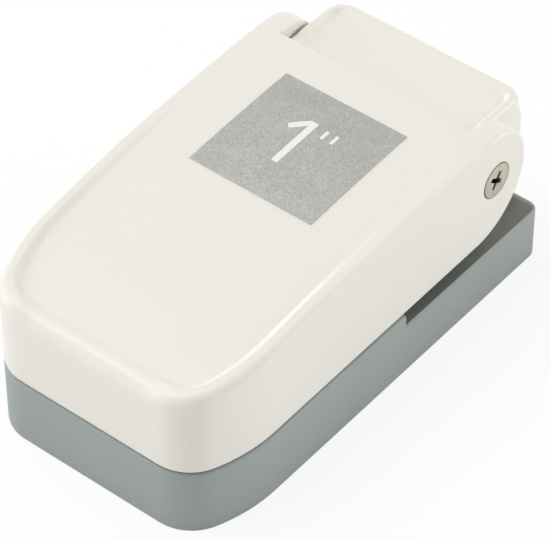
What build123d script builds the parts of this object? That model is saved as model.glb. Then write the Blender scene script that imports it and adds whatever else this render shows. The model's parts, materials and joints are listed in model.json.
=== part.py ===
from build123d import *
import os
from math import atan2, cos, pi, radians, sin, tan

# Square punch with a hinged lever. Millimetres, +Z up, +Y towards the hinge and the paper slot.
# The origin is the middle of the footprint, on the surface that the feet stand on.
# The lever is closed, as it is when the punch is put away.

overrun = 2.0

# The cut shape and the throat around it
cut_side = 25.4
die_clearance = 0.05
side_margin = 11.95
tail_length = 10.2
nose_length = 54.2
stop_margin = 1.8

# Base
foot_drop = 0.5
deck_top = 10.5
wall_rise = 2.8
base_wall = 2.4
deck_thickness = 2.0
ledge_thickness = 1.8
corner_radius = 8.4
corner_swell = 1.8
corner_run = 8.7
rear_corner_radius = 2.4
notch_lead = 0.9
deck_chamfer = 0.4
window_margin = 0.8
fit_gap = 0.2
screw_gap = 0.05

# Plates of the cutting set
die_thickness = 3.0
paper_gap = 2.1
guide_thickness = 2.5
spacer_length = 15.5
plate_lead = 0.4

# Lever
lever_inset = 0.35
lever_gap = 0.15
lever_skin = 2.2
crown_fall = 4.9
dish_drop = 1.2
dish_rim = 2.9
dish_run_out = 2.4
edge_radius = 2.2
finger_width = 4.9
finger_radius = 4.6
cheek_radius = 12.5
cheek_tail = 7.9
cheek_lead = 1.2
hump_lead = 1.7
hump_gap = 1.0
open_angle = 28.0

# Pivot
pivot_inset = 3.9
pivot_boss_radius = 4.0
sleeve_radius = 3.0
sleeve_wall = 1.35
running_gap = 0.05
ear_thickness = 1.0
ear_lead = 4.0
washer_gap = 0.5
washer_thickness = 0.4
washer_radius = 4.2
pivot_head_radius = 3.65
pivot_screw_length = 11.0

# Ram
roller_arm = 8.6
roller_radius = 2.5
roller_pin_radius = 1.2
contact_gap = 0.1
ram_float = 0.8
ram_plate_thickness = 2.0
ram_clearance = 0.4
punch_bite = 0.9
pad_front_share = 1.25
pad_rear_share = 1.75
spring_length = 4.5
wing_thickness = 1.5
wing_lead = 0.8
wing_front = 0.7
side_gap = 0.3
spring_wire = 0.45
spring_side_gap = 0.85
post_height = 2.2

# Head
housing_wall = 1.6
tray_floor_thickness = 1.8
tray_floor_gap = 0.6
rim_height = 0.9
rim_width = 1.4
tail_inset = 0.1
stop_clearance = 1.0
tray_corner_radius = 4.0
tray_front_lead = 2.8

# Lever frame
frame_half = 8.2
frame_thickness = 1.2
frame_length = 43.0
frame_setback = 6.3
frame_depth = 3.5
frame_arm_half = 2.3
frame_room = 0.15

# Label
label_thickness = 0.12
glue_line = 0.03
label_place = 36.2

# Cover, feet and fasteners
cover_thickness = 1.6
rebate = 1.2
foot_radius = 3.4
foot_seat = 0.5
small_shank = 1.0
large_shank = 1.5
boss_wall = 1.6
sink_angle = 90
head_share = 1.75
flat_rim_share = 0.05
pan_rim_share = 0.9
pan_height_share = 1.15
grip_share = 3.0
slot_width_share = 0.25
slot_depth_share = 0.5

# Places along the length, from the rear end, the nose and the punch
base_width = cut_side + 2 * side_margin
base_length = nose_length + cut_side + tail_length
base_half = base_width / 2
base_front = -base_length / 2
base_rear = base_length / 2
punch_rear = base_rear - tail_length
punch_front = punch_rear - cut_side
punch_middle = punch_rear - cut_side / 2
stop_face = punch_front - stop_margin
notch_face = stop_face - notch_lead
guide_front = stop_face - spacer_length
guide_rear = base_rear - tail_inset - housing_wall - fit_gap
pivot_y = punch_rear - pivot_inset
roller_y = pivot_y - roller_arm

# Heights, from the feet up
shell_bottom = foot_drop
cover_top = shell_bottom + cover_thickness
wall_top = deck_top + wall_rise
ledge_top = deck_top - die_thickness
guide_bottom = deck_top + paper_gap
guide_top = guide_bottom + guide_thickness
stroke = roller_arm * sin(radians(open_angle))
punch_top = guide_top + ram_float
ram_plate_top = punch_top + ram_plate_thickness
pivot_z = ram_plate_top + ram_clearance + stroke + pivot_boss_radius
pad_top = pivot_z - roller_radius - contact_gap
tray_floor_bottom = pivot_z + pivot_boss_radius + tray_floor_gap
tray_floor = tray_floor_bottom + tray_floor_thickness
rim_top = tray_floor + rim_height
crown_top = tray_floor + hump_gap + lever_skin
lever_bottom = wall_top + lever_gap

# Widths, from the outside in
lever_half = base_half - lever_inset
lever_wall = base_wall - lever_inset
slot_half = lever_half - finger_width
tray_half = slot_half - running_gap * 2
ear_outer = slot_half - washer_gap
ear_inner = ear_outer - ear_thickness
guide_half = slot_half - plate_lead
punch_half = cut_side / 2
ram_half = punch_half + side_gap / 2
wing_half = ear_inner - side_gap
frame_inner = frame_half - frame_thickness
pad_half = frame_inner - side_gap * 2

# Places that follow from the swing of the lever
lever_front = base_front + lever_inset
lever_rear = pivot_y + cheek_tail
hump_rear = pivot_y - hump_lead
swing = radians(open_angle)
swung_edge = pivot_y + (crown_top - pivot_z) * sin(swing) - hump_lead * cos(swing)
rim_front = swung_edge + stop_clearance
ear_front = pivot_y - ear_lead
ear_rear = rim_front - 2 * fit_gap
wing_rear = ear_front - wing_lead
cheek_front = ear_front - cheek_lead
box_front = punch_rear + fit_gap * 2

# The front corners are a tight arc that runs into a long, flat arc along the side
long_radius = corner_radius + corner_swell / 2 + corner_run**2 / (2 * corner_swell)
tight_x = base_half - corner_radius - corner_swell
tight_y = base_front + corner_radius
long_x = base_half - long_radius
long_y = tight_y + corner_run
corner_turn = atan2(tight_y - long_y, tight_x - long_x)


def plan_outline(inset, rear, front_shift=0):
    """Plan of base and lever with its front corners, set in by inset and cut square at rear."""
    half = base_half - inset
    long_arc = long_radius - inset
    tight_arc = corner_radius - inset
    front = tight_y - tight_arc - front_shift
    tight_turn = (corner_turn - pi / 2) / 2
    with BuildSketch() as drawn:
        with BuildLine():
            for side in (-1, 1):
                side_end = (side * half, long_y - front_shift)
                long_middle = (
                    side * (long_x + long_arc * cos(corner_turn / 2)),
                    long_y - front_shift + long_arc * sin(corner_turn / 2),
                )
                join = (
                    side * (long_x + long_arc * cos(corner_turn)),
                    long_y - front_shift + long_arc * sin(corner_turn),
                )
                tight_middle = (
                    side * (tight_x + tight_arc * cos(tight_turn)),
                    tight_y - front_shift + tight_arc * sin(tight_turn),
                )
                Line((side * half, rear), side_end)
                ThreePointArc(side_end, long_middle, join)
                ThreePointArc(join, tight_middle, (side * tight_x, front))
            Line((-half, rear), (half, rear))
            Line((-tight_x, front), (tight_x, front))
        make_face()
    return drawn.sketch


def crown_height(y, drop):
    """Height of the lever's top at y, where drop lowers its front end."""
    share = (hump_rear - y) / (hump_rear - lever_front)
    return crown_top - (crown_fall + drop) * share**2


def under_crown(drop, skin, rear, bottom):
    """Side view of the space under the crown, from in front of the nose to rear."""
    nose = lever_front - overrun
    middle = (nose + hump_rear) / 2
    with BuildSketch() as drawn:
        with BuildLine():
            ThreePointArc(
                (nose, crown_height(nose, drop) - skin),
                (middle, crown_height(middle, drop) - skin),
                (hump_rear, crown_top - skin),
            )
            Polyline(
                (hump_rear, crown_top - skin),
                (rear, crown_top - skin),
                (rear, bottom),
                (nose, bottom),
                (nose, crown_height(nose, drop) - skin),
            )
        make_face()
    return drawn.sketch


def lever_block(drop):
    """Solid outside form of the lever up to its crown, with rounded top edges."""
    with BuildPart() as block:
        with BuildSketch(Plane.XY.offset(lever_bottom)):
            add(plan_outline(lever_inset, lever_rear))
        extrude(amount=crown_top - lever_bottom)
        with BuildSketch(Plane.YZ):
            add(under_crown(drop, 0, lever_rear, lever_bottom))
        extrude(amount=base_width, both=True, mode=Mode.INTERSECT)
        outline = block.edges().filter_by(lambda edge: edge.center().Z > pivot_z)
        across = outline.filter_by(Axis.X)
        rounded = outline.filter_by(Axis.X, reverse=True).filter_by(Axis.Z, reverse=True)
        fillet(rounded + [across.sort_by(Axis.Y)[0]], edge_radius)
    return block.part


def rear_form(overhang):
    """Side view of the rounded rear of the cheeks, grown forwards by overhang."""
    arc_y = lever_rear - cheek_radius
    arc_z = lever_bottom + cheek_radius
    finger_y = lever_rear - finger_radius
    finger_z = crown_top - finger_radius
    slant = radians(45)
    with BuildSketch() as drawn:
        with BuildLine():
            Line((lever_front - overhang, lever_bottom), (arc_y, lever_bottom))
            ThreePointArc(
                (arc_y, lever_bottom),
                (arc_y + cheek_radius * cos(slant), arc_z - cheek_radius * sin(slant)),
                (lever_rear, arc_z),
            )
            Line((lever_rear, arc_z), (lever_rear, finger_z))
            ThreePointArc(
                (lever_rear, finger_z),
                (finger_y + finger_radius * cos(slant), finger_z + finger_radius * sin(slant)),
                (finger_y, crown_top),
            )
            Polyline(
                (finger_y, crown_top),
                (finger_y, crown_top + overhang),
                (lever_front - overhang, crown_top + overhang),
                (lever_front - overhang, lever_bottom),
            )
        make_face()
    return drawn.sketch


def screw(shank_radius, shank_length, head_radius, head_height, rim_height_share):
    """Cross-head screw along -Z from the head's face at z = 0; the head tapers below its rim."""
    slot_width = head_radius * slot_width_share
    slot_depth = head_height * slot_depth_share
    with BuildPart() as one:
        with BuildSketch(Plane.XZ):
            with BuildLine():
                Polyline(
                    (0, 0),
                    (head_radius, 0),
                    (head_radius, -head_height * rim_height_share),
                    (shank_radius, -head_height),
                    (shank_radius, -shank_length),
                    (0, -shank_length),
                    (0, 0),
                )
            make_face()
        revolve(axis=Axis.Z)
        for turn in (0, 90):
            with BuildSketch():
                Rectangle(head_radius, slot_width, rotation=turn)
            extrude(amount=-slot_depth, mode=Mode.SUBTRACT)
    return one.part


def pan_screw(shank_radius, grip):
    """Pan-head screw whose head rests on z = 0, with grip of shank below it."""
    height = shank_radius * pan_height_share
    raised = screw(shank_radius, height + grip, shank_radius * head_share, height, pan_rim_share)
    return raised.moved(Location((0, 0, height)))


def flat_screw(shank_radius, length, head_radius):
    """Countersunk screw that lies flush with z = 0."""
    height = (head_radius - shank_radius) / tan(radians(sink_angle / 2))
    return screw(shank_radius, length, head_radius, height, flat_rim_share)


def sink_radius(shank_radius, head_radius):
    """Radius of the countersink around a flat head, with clearance for the head's rim."""
    return head_radius + (head_radius - shank_radius) * flat_rim_share + screw_gap


# Base: an open box with full walls in front and a lower paper deck behind the notch
cover_inset = rebate + fit_gap / 2
boss_radius = small_shank + boss_wall
guide_boss_radius = large_shank + boss_wall
guide_screw_x = guide_half - guide_boss_radius - boss_wall
guide_screw_places = [
    (side * guide_screw_x, y)
    for side in (-1, 1)
    for y in (guide_front + guide_boss_radius, stop_face - guide_boss_radius)
]
die_screw_x = guide_half - boss_radius
die_screw_y = guide_rear - boss_radius
die_screw_places = [(-die_screw_x, die_screw_y), (die_screw_x, die_screw_y)]
cover_boss_x = base_half - base_wall - boss_radius + fit_gap
nose_screw_places = [(side * tight_x, tight_y + boss_radius) for side in (-1, 1)]
side_screw_places = [(side * cover_boss_x, stop_face - boss_radius) for side in (-1, 1)]
cover_screw_places = nose_screw_places + side_screw_places
window_side = cut_side + 2 * window_margin
passage_half = guide_screw_x - guide_boss_radius - fit_gap
passage_front = guide_front - fit_gap - ledge_thickness - overrun

with BuildPart() as base_shell:
    with BuildSketch(Plane.XY.offset(shell_bottom)) as footprint:
        add(plan_outline(0, base_rear))
        fillet(footprint.vertices().group_by(Axis.Y)[-1], rear_corner_radius)
    extrude(amount=wall_top - shell_bottom)
    # the lower deck behind the notch
    with BuildSketch(Plane.XY.offset(deck_top)):
        with Locations((0, (notch_face + base_rear + overrun) / 2)):
            Rectangle(base_width + overrun, base_rear + overrun - notch_face)
    extrude(amount=wall_rise + overrun, mode=Mode.SUBTRACT)
    chamfer(
        base_shell.faces().filter_by(Axis.Z).group_by(Axis.Z)[-2].edges().filter_by(Axis.Y),
        deck_chamfer,
    )
    # the well inside the front walls
    with BuildSketch(Plane.XY.offset(deck_top)):
        add(plan_outline(base_wall, notch_face))
    extrude(amount=wall_rise + overrun, mode=Mode.SUBTRACT)
    # the pocket of the die plate and the space under it
    with BuildSketch(Plane.XY.offset(ledge_top)):
        with Locations((0, (guide_front + guide_rear) / 2)):
            Rectangle(2 * (guide_half + fit_gap), guide_rear - guide_front + 2 * fit_gap)
    extrude(amount=die_thickness + overrun, mode=Mode.SUBTRACT)
    with BuildSketch(Plane.XY.offset(shell_bottom)):
        add(plan_outline(base_wall, base_rear - base_wall))
    extrude(amount=ledge_top - ledge_thickness - shell_bottom, mode=Mode.SUBTRACT)
    with BuildSketch(Plane.XY.offset(shell_bottom)):
        add(plan_outline(base_wall, guide_front - fit_gap - ledge_thickness))
    extrude(amount=deck_top - deck_thickness - shell_bottom, mode=Mode.SUBTRACT)
    # screw bosses that stand on the cover
    with BuildSketch(Plane.XY.offset(cover_top + fit_gap)):
        with Locations(*guide_screw_places):
            Circle(guide_boss_radius)
        with Locations(*die_screw_places):
            Circle(boss_radius)
    extrude(amount=ledge_top - ledge_thickness - cover_top - fit_gap)
    with BuildSketch(Plane.XY.offset(cover_top)):
        with Locations(*nose_screw_places):
            Circle(boss_radius)
    extrude(amount=deck_top - deck_thickness - cover_top)
    with BuildSketch(Plane.XY.offset(cover_top)):
        with Locations(*side_screw_places):
            Circle(boss_radius)
    extrude(amount=ledge_top - ledge_thickness - cover_top)
    # the seat of the bottom cover
    with BuildSketch(Plane.XY.offset(shell_bottom)):
        add(plan_outline(rebate, base_rear - rebate))
    extrude(amount=cover_thickness, mode=Mode.SUBTRACT)
    # the window under the die
    with BuildSketch(Plane.XY.offset(shell_bottom)):
        with Locations((0, punch_middle)):
            Rectangle(window_side, window_side)
    extrude(amount=ledge_top - shell_bottom + overrun, mode=Mode.SUBTRACT)
    # the passage between the bosses, from the front hollow to the window
    with BuildSketch(Plane.XY.offset(cover_top)):
        with Locations((0, (passage_front + punch_front) / 2)):
            Rectangle(2 * passage_half, punch_front - passage_front)
    extrude(amount=ledge_top - cover_top, mode=Mode.SUBTRACT)
    # screw holes
    with BuildSketch(Plane.XY.offset(cover_top)):
        with Locations(*guide_screw_places):
            Circle(large_shank + screw_gap)
        with Locations(*die_screw_places):
            Circle(small_shank + screw_gap)
        with Locations(*cover_screw_places):
            Circle(small_shank + screw_gap)
    extrude(amount=ledge_top - cover_top, mode=Mode.SUBTRACT)

# Bottom cover: a plate in the base's rebate, with the window and seats for the feet
foot_x = tight_x
foot_places = [
    (-foot_x, tight_y + 2 * boss_radius + foot_radius),
    (foot_x, tight_y + 2 * boss_radius + foot_radius),
    (-foot_x, base_rear - rebate - foot_radius - fit_gap * 2),
    (foot_x, base_rear - rebate - foot_radius - fit_gap * 2),
]
small_grip = small_shank * grip_share
small_head = small_shank * head_share
small_sink = sink_radius(small_shank, small_head)

with BuildPart() as bottom_cover:
    with BuildSketch(Plane.XY.offset(shell_bottom)):
        add(plan_outline(cover_inset, base_rear - cover_inset))
        with Locations((0, punch_middle)):
            Rectangle(window_side, window_side, mode=Mode.SUBTRACT)
    extrude(amount=cover_thickness)
    with BuildSketch(Plane.XY.offset(shell_bottom)):
        with Locations(*foot_places):
            Circle(foot_radius + screw_gap)
    extrude(amount=foot_seat, mode=Mode.SUBTRACT)
    with Locations(*[Location((x, y, shell_bottom), (180, 0, 0)) for x, y in cover_screw_places]):
        CounterSinkHole(
            small_shank + screw_gap, small_sink, depth=cover_thickness, counter_sink_angle=sink_angle
        )

with BuildPart() as rubber_feet:
    with BuildSketch():
        with Locations(*foot_places):
            Circle(foot_radius)
    extrude(amount=foot_drop + foot_seat)

with BuildPart() as cover_screws:
    with Locations(*[Location((x, y, shell_bottom), (180, 0, 0)) for x, y in cover_screw_places]):
        add(flat_screw(small_shank, cover_thickness + small_grip, small_head))

# Cutting set: die plate, spacer and guide plate, with the square hole of the cut
hole_side = cut_side + 2 * die_clearance
plate_length = guide_rear - guide_front
plate_middle = (guide_front + guide_rear) / 2

with BuildPart() as die_plate:
    with BuildSketch(Plane.XY.offset(ledge_top)):
        with Locations((0, plate_middle)):
            Rectangle(2 * guide_half, plate_length)
        with Locations((0, punch_middle)):
            Rectangle(hole_side, hole_side, mode=Mode.SUBTRACT)
        with Locations(*guide_screw_places):
            Circle(large_shank + screw_gap, mode=Mode.SUBTRACT)
    extrude(amount=die_thickness)
    with Locations(*[(x, y, deck_top) for x, y in die_screw_places]):
        CounterSinkHole(
            small_shank + screw_gap, small_sink, depth=die_thickness, counter_sink_angle=sink_angle
        )

with BuildPart() as die_screws:
    with Locations(*[(x, y, deck_top) for x, y in die_screw_places]):
        add(flat_screw(small_shank, die_thickness + ledge_thickness, small_head))

with BuildPart() as throat_spacer:
    with BuildSketch(Plane.XY.offset(deck_top)):
        with Locations((0, (guide_front + stop_face) / 2)):
            Rectangle(2 * guide_half, spacer_length)
        with Locations(*guide_screw_places):
            Circle(large_shank + screw_gap, mode=Mode.SUBTRACT)
    extrude(amount=paper_gap)

# Places on the guide plate
ear_foot_inner = ram_half + side_gap
ear_screw_x = (ear_foot_inner + ear_inner) / 2
ear_screw_y = [ear_front + boss_radius / 2, ear_rear - boss_radius / 2]
ear_screw_places = [(side * ear_screw_x, y) for side in (-1, 1) for y in ear_screw_y]
housing_boss_x = guide_half - 2 * boss_radius
housing_boss_y = (box_front + guide_rear) / 2
housing_screw_places = [(-housing_boss_x, housing_boss_y), (housing_boss_x, housing_boss_y)]
spring_x = (ram_half + ear_inner) / 2
spring_outer = (ear_inner - ram_half) / 2 - spring_side_gap
wing_start = punch_front + wing_front
spring_places = [
    (side * spring_x, wing_start + share * (wing_rear - wing_start))
    for side in (-1, 1)
    for share in (1 / 4, 3 / 4)
]
post_radius = spring_outer - spring_wire - side_gap

with BuildPart() as guide_plate:
    with BuildSketch(Plane.XY.offset(guide_bottom)):
        with Locations((0, plate_middle)):
            Rectangle(2 * guide_half, plate_length)
        with Locations((0, punch_middle)):
            Rectangle(hole_side, hole_side, mode=Mode.SUBTRACT)
        with Locations(*guide_screw_places):
            Circle(large_shank + screw_gap, mode=Mode.SUBTRACT)
        with Locations(*ear_screw_places):
            Circle(small_shank + screw_gap, mode=Mode.SUBTRACT)
    extrude(amount=guide_thickness)
    with Locations(*[Location((x, y, guide_bottom), (180, 0, 0)) for x, y in housing_screw_places]):
        CounterSinkHole(
            small_shank + screw_gap, small_sink, depth=guide_thickness, counter_sink_angle=sink_angle
        )

with BuildPart() as guide_screws:
    with Locations(*[(x, y, guide_top) for x, y in guide_screw_places]):
        add(pan_screw(large_shank, guide_top - cover_top - 2 * fit_gap))

with BuildPart() as spring_posts:
    with BuildSketch(Plane.XY.offset(guide_top)):
        with Locations(*spring_places):
            Circle(post_radius)
    extrude(amount=post_height)

with BuildPart() as return_springs:
    with BuildSketch(Plane.XY.offset(guide_top)):
        with Locations(*spring_places):
            Circle(spring_outer)
        with Locations(*spring_places):
            Circle(spring_outer - spring_wire, mode=Mode.SUBTRACT)
    extrude(amount=spring_length)


# Pivot ears: steel angles on the guide plate that carry the axle sleeve
def pivot_ear(side):
    with BuildPart() as ear:
        with BuildSketch(Plane.XY.offset(guide_top)):
            with Locations((side * (ear_outer + ear_foot_inner) / 2, (ear_front + ear_rear) / 2)):
                Rectangle(ear_outer - ear_foot_inner, ear_rear - ear_front)
            with Locations(*[(side * ear_screw_x, y) for y in ear_screw_y]):
                Circle(small_shank + screw_gap, mode=Mode.SUBTRACT)
        extrude(amount=ear_thickness)
        with BuildSketch(Plane.YZ.offset(side * (ear_inner + ear_outer) / 2)) as blade:
            with Locations(((ear_front + ear_rear) / 2, (guide_top + tray_floor) / 2)):
                Rectangle(ear_rear - ear_front, tray_floor - guide_top)
            fillet(blade.vertices().group_by(Axis.Y)[-1], ear_thickness)
            with Locations((pivot_y, pivot_z)):
                Circle(sleeve_radius + running_gap, mode=Mode.SUBTRACT)
        extrude(amount=ear_thickness / 2, both=True)
    return ear.part


with BuildPart() as ear_left:
    add(pivot_ear(-1))

with BuildPart() as ear_right:
    add(pivot_ear(1))

with BuildPart() as ear_screws:
    with Locations(*[(x, y, guide_top + ear_thickness) for x, y in ear_screw_places]):
        add(pan_screw(small_shank, ear_thickness + guide_thickness))

# Head: a fixed box behind the punch whose top is a shallow tray that reaches under the lever's rear edge
box_rear = base_rear - tail_inset
tray_front = pivot_y - tray_front_lead
tray_inner_half = ear_inner - 2 * fit_gap

with BuildPart() as head_housing:
    # the box
    with BuildSketch(Plane.XY.offset(guide_top)) as box_plan:
        with Locations((0, (box_front + box_rear) / 2)):
            Rectangle(2 * tray_half, box_rear - box_front)
        fillet(box_plan.vertices().group_by(Axis.Y)[-1], tray_corner_radius)
    extrude(amount=rim_top - guide_top)
    # the tray's floor and rim in front of the box
    with BuildSketch(Plane.XY.offset(tray_floor_bottom)):
        with Locations((0, (rim_front + box_front) / 2 + overrun / 2)):
            Rectangle(2 * tray_half, box_front - rim_front + overrun)
    extrude(amount=rim_top - tray_floor_bottom)
    with BuildSketch(Plane.XY.offset(tray_floor_bottom)):
        with Locations((0, (tray_front + box_front) / 2)):
            Rectangle(2 * tray_inner_half, box_front - tray_front)
    extrude(amount=tray_floor_thickness)
    # the recess of the tray
    with BuildSketch(Plane.XY.offset(tray_floor)) as recess:
        with Locations((0, (tray_front + box_rear - rim_width) / 2)):
            Rectangle(2 * (tray_half - rim_width), box_rear - rim_width - tray_front)
        fillet(recess.vertices().group_by(Axis.Y)[-1], tray_corner_radius - rim_width)
    extrude(amount=rim_height + overrun, mode=Mode.SUBTRACT)
    # the hollow inside the box
    with BuildSketch(Plane.XY.offset(guide_top)):
        with Locations((0, (box_front + box_rear) / 2)):
            Rectangle(2 * (tray_half - housing_wall), box_rear - box_front - 2 * housing_wall)
    extrude(amount=tray_floor_bottom - guide_top, mode=Mode.SUBTRACT)
    # the rear skirt that covers the guide plate's end
    with BuildSketch(Plane.XY.offset(guide_bottom)):
        with Locations((0, box_rear - housing_wall / 2)):
            Rectangle(2 * (tray_half - tray_corner_radius), housing_wall)
    extrude(amount=guide_thickness)
    # screw bosses
    with BuildSketch(Plane.XY.offset(guide_top)):
        with Locations(*housing_screw_places):
            Circle(boss_radius)
    extrude(amount=tray_floor_bottom - guide_top)
    with BuildSketch(Plane.XY.offset(guide_top)):
        with Locations(*housing_screw_places):
            Circle(small_shank + screw_gap)
    extrude(amount=2 * small_grip, mode=Mode.SUBTRACT)

with BuildPart() as housing_screws:
    with Locations(*[Location((x, y, guide_bottom), (180, 0, 0)) for x, y in housing_screw_places]):
        add(flat_screw(small_shank, guide_thickness + small_grip, small_head))

# Lever cover: a shell open below, with a thumb dish and two rear fingers
plain_form = lever_block(0)
dished_form = lever_block(dish_drop)

with BuildPart() as dish_space:
    with BuildSketch(Plane.XY.offset(pivot_z)):
        add(plan_outline(lever_inset + dish_rim, hump_rear, dish_rim + dish_run_out))
    extrude(amount=crown_top - pivot_z + overrun)
    add(dished_form, mode=Mode.SUBTRACT)

with BuildPart() as lever_hollow:
    with BuildSketch(Plane.XY.offset(lever_bottom - overrun)):
        add(plan_outline(lever_inset + lever_wall, cheek_front))
        with Locations((0, (cheek_front + lever_rear) / 2)):
            Rectangle(2 * slot_half, lever_rear - cheek_front + 2 * overrun)
    extrude(amount=crown_top - lever_bottom + 2 * overrun)
    with BuildSketch(Plane.YZ):
        add(under_crown(dish_drop, lever_skin, lever_rear + overrun, lever_bottom - overrun))
    extrude(amount=base_width, both=True, mode=Mode.INTERSECT)

frame_front = pivot_y - frame_setback - frame_length
frame_rear = pivot_y - frame_setback
web_top = crown_height(frame_front, dish_drop) - lever_skin - frame_room
frame_screw_places = [(0, frame_front + frame_half), (0, roller_y - frame_half)]
frame_grip = crown_height(frame_front + frame_half, dish_drop) - lever_skin / 2 - web_top
pivot_shank = sleeve_radius - sleeve_wall
pivot_seats = [
    Location((side * lever_half, pivot_y, pivot_z), (0, side * 90, 0)) for side in (-1, 1)
]

with BuildPart() as lever_cover:
    add(plain_form)
    add(dish_space.part, mode=Mode.SUBTRACT)
    with BuildSketch(Plane.YZ):
        add(rear_form(overrun))
    extrude(amount=base_width, both=True, mode=Mode.INTERSECT)
    add(lever_hollow.part, mode=Mode.SUBTRACT)
    # the slot between the fingers
    with BuildSketch(Plane.XY.offset(lever_bottom)):
        with Locations((0, (hump_rear + lever_rear + overrun) / 2)):
            Rectangle(2 * slot_half, lever_rear + overrun - hump_rear)
    extrude(amount=crown_top - lever_bottom + overrun, mode=Mode.SUBTRACT)
    # bosses that carry the frame
    with BuildSketch(Plane.XY.offset(web_top)):
        with Locations(*frame_screw_places):
            Circle(guide_boss_radius)
    extrude(until=Until.NEXT)
    with BuildSketch(Plane.XY.offset(web_top)):
        with Locations(*frame_screw_places):
            Circle(small_shank + screw_gap)
    extrude(amount=frame_grip + screw_gap, mode=Mode.SUBTRACT)
    # countersunk holes of the pivot screws
    with Locations(*pivot_seats):
        CounterSinkHole(
            pivot_shank + screw_gap,
            sink_radius(pivot_shank, pivot_head_radius),
            depth=finger_width,
            counter_sink_angle=sink_angle,
        )

# Label: a foil square that lies in the dish
label_middle = base_rear - label_place
with BuildPart() as label_plate:
    with BuildSketch(Plane.YZ):
        add(under_crown(dish_drop, -glue_line - label_thickness, lever_rear, lever_bottom))
        add(under_crown(dish_drop, -glue_line, lever_rear, lever_bottom), mode=Mode.SUBTRACT)
        with Locations((label_middle, crown_top)):
            Rectangle(cut_side, crown_top, mode=Mode.INTERSECT)
    extrude(amount=punch_half, both=True)

# Lever frame: a steel channel under the cover, from the pivot to the lever's middle
web_bottom = web_top - frame_thickness
with BuildPart() as lever_frame:
    with BuildSketch(Plane.XY.offset(web_bottom)):
        with Locations((0, (frame_front + frame_rear) / 2)):
            Rectangle(2 * frame_half, frame_length)
        with Locations(*frame_screw_places):
            Circle(small_shank + screw_gap, mode=Mode.SUBTRACT)
    extrude(amount=frame_thickness)
    for side in (-1, 1):
        with BuildSketch(Plane.YZ.offset(side * (frame_half - frame_thickness / 2))):
            with BuildLine():
                Polyline(
                    (frame_front, web_top),
                    (frame_rear, web_top),
                    (frame_rear, web_top - frame_depth),
                    (frame_front, web_top - frame_depth),
                    (frame_front, web_top),
                )
                CenterArc((roller_y, pivot_z), frame_arm_half, 0, 360)
            make_hull()
            with Locations(((roller_y + pivot_y) / 2, pivot_z)):
                Rectangle(roller_arm, 2 * frame_arm_half)
            with Locations((pivot_y, pivot_z)):
                Circle(pivot_boss_radius)
                Circle(sleeve_radius + screw_gap, mode=Mode.SUBTRACT)
            with Locations((roller_y, pivot_z)):
                Circle(roller_pin_radius + screw_gap, mode=Mode.SUBTRACT)
        extrude(amount=frame_thickness / 2, both=True)

with BuildPart() as frame_screws:
    with Locations(*[Location((x, y, web_bottom), (180, 0, 0)) for x, y in frame_screw_places]):
        add(pan_screw(small_shank, frame_thickness + frame_grip))

with BuildPart() as press_roller:
    with BuildSketch(Plane.YZ):
        with Locations((roller_y, pivot_z)):
            Circle(roller_radius)
            Circle(roller_pin_radius + running_gap, mode=Mode.SUBTRACT)
    extrude(amount=frame_inner - fit_gap, both=True)

with BuildPart() as roller_pin:
    with BuildSketch(Plane.YZ):
        with Locations((roller_y, pivot_z)):
            Circle(roller_pin_radius)
    extrude(amount=frame_half + fit_gap, both=True)

# Pivot: an axle sleeve through the ears, clamped between the fingers by two flat-head screws
with BuildPart() as pivot_sleeve:
    with BuildSketch(Plane.YZ):
        with Locations((pivot_y, pivot_z)):
            Circle(sleeve_radius)
            Circle(pivot_shank + screw_gap, mode=Mode.SUBTRACT)
    extrude(amount=slot_half, both=True)

with BuildPart() as pivot_screws:
    with Locations(*pivot_seats):
        add(flat_screw(pivot_shank, pivot_screw_length, pivot_head_radius))

with BuildPart() as pivot_washers:
    for side in (-1, 1):
        with BuildSketch(Plane.YZ.offset(side * (slot_half - washer_thickness / 2))):
            with Locations((pivot_y, pivot_z)):
                Circle(washer_radius)
                Circle(sleeve_radius + screw_gap, mode=Mode.SUBTRACT)
        extrude(amount=washer_thickness / 2, both=True)

# Ram: the square punch, and the head that the roller presses and the springs lift
punch_bottom = deck_top - punch_bite
pad_front = roller_y - roller_radius * pad_front_share
pad_rear = roller_y + roller_radius * pad_rear_share
ram_screw_places = [(0, (punch_front + pad_front) / 2), (0, punch_rear - boss_radius)]
with BuildPart() as punch_block:
    with BuildSketch(Plane.XY.offset(punch_bottom)):
        with Locations((0, punch_middle)):
            Rectangle(cut_side, cut_side)
    extrude(amount=punch_top - punch_bottom)
    with BuildSketch(Plane.XY.offset(punch_top)):
        with Locations(*ram_screw_places):
            Circle(small_shank + screw_gap)
    extrude(amount=-small_grip - screw_gap, mode=Mode.SUBTRACT)

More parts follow.
